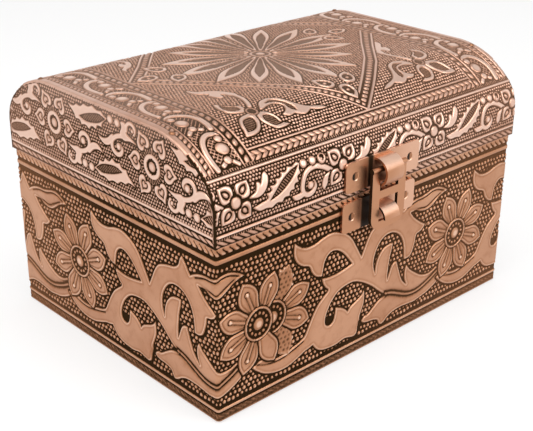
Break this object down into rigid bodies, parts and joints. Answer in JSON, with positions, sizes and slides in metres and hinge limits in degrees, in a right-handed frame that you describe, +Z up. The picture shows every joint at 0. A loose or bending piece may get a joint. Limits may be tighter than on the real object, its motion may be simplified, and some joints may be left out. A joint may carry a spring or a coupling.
{
  "type": "hinged sweet box",
  "caption": "Hinged box with a rounded lid, clad in embossed copper sheet over wooden boards, lined with velvet and closed by a swinging hasp loop.",
  "frame": {"origin": "centre of the base's flat underside, on the surface that the box stands on", "axes": "+X to the right along the front, -Y out of the front with the hasp, +Z up"},
  "size_m": [0.152, 0.1252, 0.0961],
  "materials": {
    "embossed_copper": "antiqued copper sheet: dark recesses, rubbed relief",
    "hasp_copper": "polished copper plating",
    "board": "raw fibreboard",
    "velvet": "short pile velvet",
    "felt": "thin felt"
  },
  "bodies": {
    "box": {"base_felt": "felt", "base_board": "board", "front_wall": "board", "back_wall": "board", "left_wall": "board", "right_wall": "board", "body_sheet": "embossed_copper", "floor_pad": "velvet", "front_velvet": "velvet", "back_velvet": "velvet", "left_velvet": "velvet", "right_velvet": "velvet", "keeper_plate": "hasp_copper", "keeper_nails": "hasp_copper", "left_hinge_body_leaf": "hasp_copper", "right_hinge_body_leaf": "hasp_copper", "left_hinge_pin": "hasp_copper", "right_hinge_pin": "hasp_copper", "hinge_body_nails": "hasp_copper"},
    "lid": {"lid_left_end": "board", "lid_right_end": "board", "lid_front_rail": "board", "lid_back_rail": "board", "lid_top_board": "board", "lid_top_sheet": "embossed_copper", "lid_left_sheet": "embossed_copper", "lid_right_sheet": "embossed_copper", "sheet_tacks": "hasp_copper", "lid_velvet": "velvet", "lid_left_velvet": "velvet", "lid_right_velvet": "velvet", "hasp_plate": "hasp_copper", "hasp_nails": "hasp_copper", "left_hinge_lid_leaf": "hasp_copper", "right_hinge_lid_leaf": "hasp_copper", "hinge_lid_nails": "hasp_copper"},
    "hasp_loop": {"hasp_loop": "hasp_copper"}
  },
  "joints": [
    {"name": "lid_hinge", "type": "hinge", "parent": "box", "child": "lid", "pos_m": [0, 0.0581, 0.06375], "axis": [-1, 0, 0], "range_deg": [0, 105]},
    {"name": "loop_hinge", "type": "hinge", "parent": "lid", "child": "hasp_loop", "pos_m": [-0.0015, -0.0622, 0.0724], "axis": [-1, 0, 0], "range_deg": [0, 195]}
  ]
}
